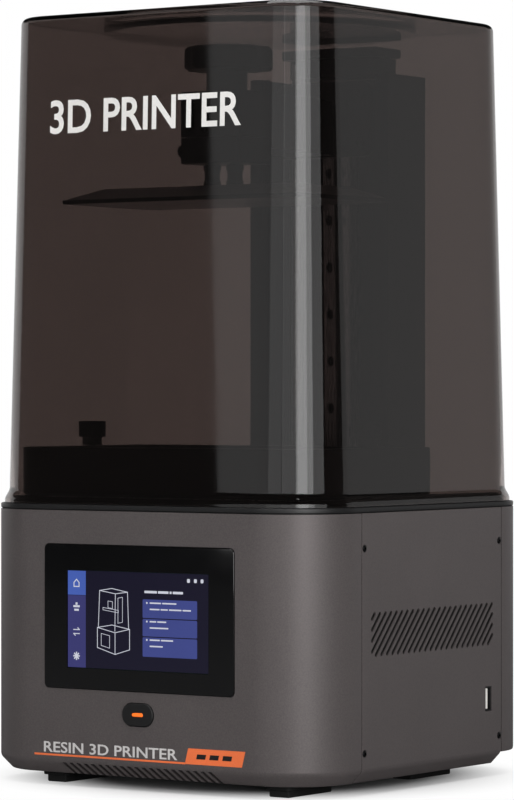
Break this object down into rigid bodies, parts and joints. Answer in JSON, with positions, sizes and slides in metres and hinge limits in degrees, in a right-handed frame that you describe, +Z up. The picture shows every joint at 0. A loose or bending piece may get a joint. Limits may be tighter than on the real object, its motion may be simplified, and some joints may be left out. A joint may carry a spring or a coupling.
{
  "type": "resin printer",
  "caption": "Desktop resin printer: painted metal base with touch display, resin vat, Z tower with build platform, and a tall smoked lift-off cover.",
  "frame": {"origin": "centre of the footprint, on the surface that the feet stand on", "axes": "+Z up, -Y the front with the display, +X the right side with the USB socket"},
  "size_m": [0.2118, 0.2128, 0.3894],
  "materials": {
    "body_paint": "fine textured powder coat, warm dark grey",
    "screw_black": "black oxide",
    "foot_rubber": "matt moulded rubber",
    "base_steel": "black",
    "deck_black": "satin black",
    "bezel_glass": "gloss black glass",
    "screen_glass": "lit touch display",
    "mask_glass": "polished display glass",
    "circuit_board": "green solder mask",
    "black_plastic": "fine moulded black",
    "button_light": "lit orange light pipe",
    "bright_steel": "ground steel",
    "bare_aluminium": "extruded",
    "platform_aluminium": "blasted and anodised",
    "clear_film": "clear",
    "black_anodised": "black anodised",
    "smoked_acrylic": "polished smoke brown acrylic"
  },
  "bodies": {
    "printer_body": {"front_shell": "body_paint", "rear_shell": "body_paint", "right_side_panel": "body_paint", "left_side_panel": "body_paint", "panel_screw_right_front_low": "screw_black", "panel_screw_right_front_high": "screw_black", "panel_screw_right_rear_low": "screw_black", "panel_screw_right_rear_high": "screw_black", "panel_screw_left_front_low": "screw_black", "panel_screw_left_front_high": "screw_black", "panel_screw_left_rear_low": "screw_black", "panel_screw_left_rear_high": "screw_black", "foot_front_left": "foot_rubber", "foot_front_right": "foot_rubber", "foot_rear_left": "foot_rubber", "foot_rear_right": "foot_rubber", "cover_gasket": "foot_rubber", "bottom_plate": "base_steel", "stepper_motor": "base_steel", "deck_frame": "deck_black", "display_bezel": "bezel_glass", "display_screen": "screen_glass", "mask_lcd": "mask_glass", "display_board": "circuit_board", "mainboard": "circuit_board", "led_board": "circuit_board", "button_switch": "circuit_board", "usb_socket": "black_plastic", "power_socket": "black_plastic", "light_housing": "black_plastic", "fan_frame": "black_plastic", "tower_cap": "black_plastic", "usb_tongue": "bright_steel", "linear_rail": "bright_steel", "film_frame": "bright_steel", "heat_sink": "bare_aluminium", "led_lens": "clear_film", "vat_film": "clear_film", "resin_vat": "black_anodised", "tower_foot": "black_anodised", "tower_column": "black_anodised", "bearing_block": "black_anodised"},
    "lift": {"rail_carriage": "bright_steel", "carriage_plate": "black_anodised", "lead_nut": "black_plastic", "platform_arm": "black_anodised", "platform_block": "black_anodised", "block_screw": "screw_black", "platform_post_left": "black_anodised", "platform_post_right": "black_anodised", "build_platform": "platform_aluminium"},
    "lead_screw": {"lead_screw": "bright_steel", "motor_coupler": "bare_aluminium"},
    "cover": {"smoked_cover": "smoked_acrylic"},
    "clamp_knob": {"clamp_knob": "black_plastic"},
    "vat_thumbscrew_left": {"vat_thumbscrew_left": "black_anodised"},
    "vat_thumbscrew_right": {"vat_thumbscrew_right": "black_anodised"},
    "power_button": {"power_button": "black_plastic", "button_light": "button_light"},
    "fan_rotor": {"fan_rotor": "black_plastic"}
  },
  "joints": [
    {"name": "z_lift", "type": "slide", "parent": "printer_body", "child": "lift", "axis": [0, 0, 1], "range_m": [-0.149, 0.004]},
    {"name": "screw_spin", "type": "hinge", "parent": "printer_body", "child": "lead_screw", "pos_m": [-0.023, 0.07, 0.2], "axis": [0, 0, 1], "range_deg": [-200, 6725]},
    {"name": "cover_lift", "type": "slide", "parent": "printer_body", "child": "cover", "axis": [0, 0, 1], "range_m": [0, 0.245]},
    {"name": "knob_turn", "type": "hinge", "parent": "lift", "child": "clamp_knob", "pos_m": [0, -0.028, 0.36], "axis": [0, 0, 1], "range_deg": [0, 720]},
    {"name": "left_thumbscrew_turn", "type": "hinge", "parent": "printer_body", "child": "vat_thumbscrew_left", "pos_m": [-0.085, -0.03, 0.16], "axis": [0, 0, 1], "range_deg": [0, 1080]},
    {"name": "right_thumbscrew_turn", "type": "hinge", "parent": "printer_body", "child": "vat_thumbscrew_right", "pos_m": [0.085, -0.03, 0.16], "axis": [0, 0, 1], "range_deg": [0, 1080]},
    {"name": "button_press", "type": "slide", "parent": "printer_body", "child": "power_button", "axis": [0, 1, 0], "range_m": [0, 0.001], "stiffness_N_per_m": 800, "springref_m": -0.001},
    {"name": "fan_spin", "type": "hinge", "parent": "printer_body", "child": "fan_rotor", "pos_m": [0.042, 0.096, 0.061], "axis": [0, 1, 0], "continuous": true}
  ],
  "couplings": [
    {"joint": "screw_spin", "follows": "z_lift", "rad_per_m": -785.4}
  ]
}
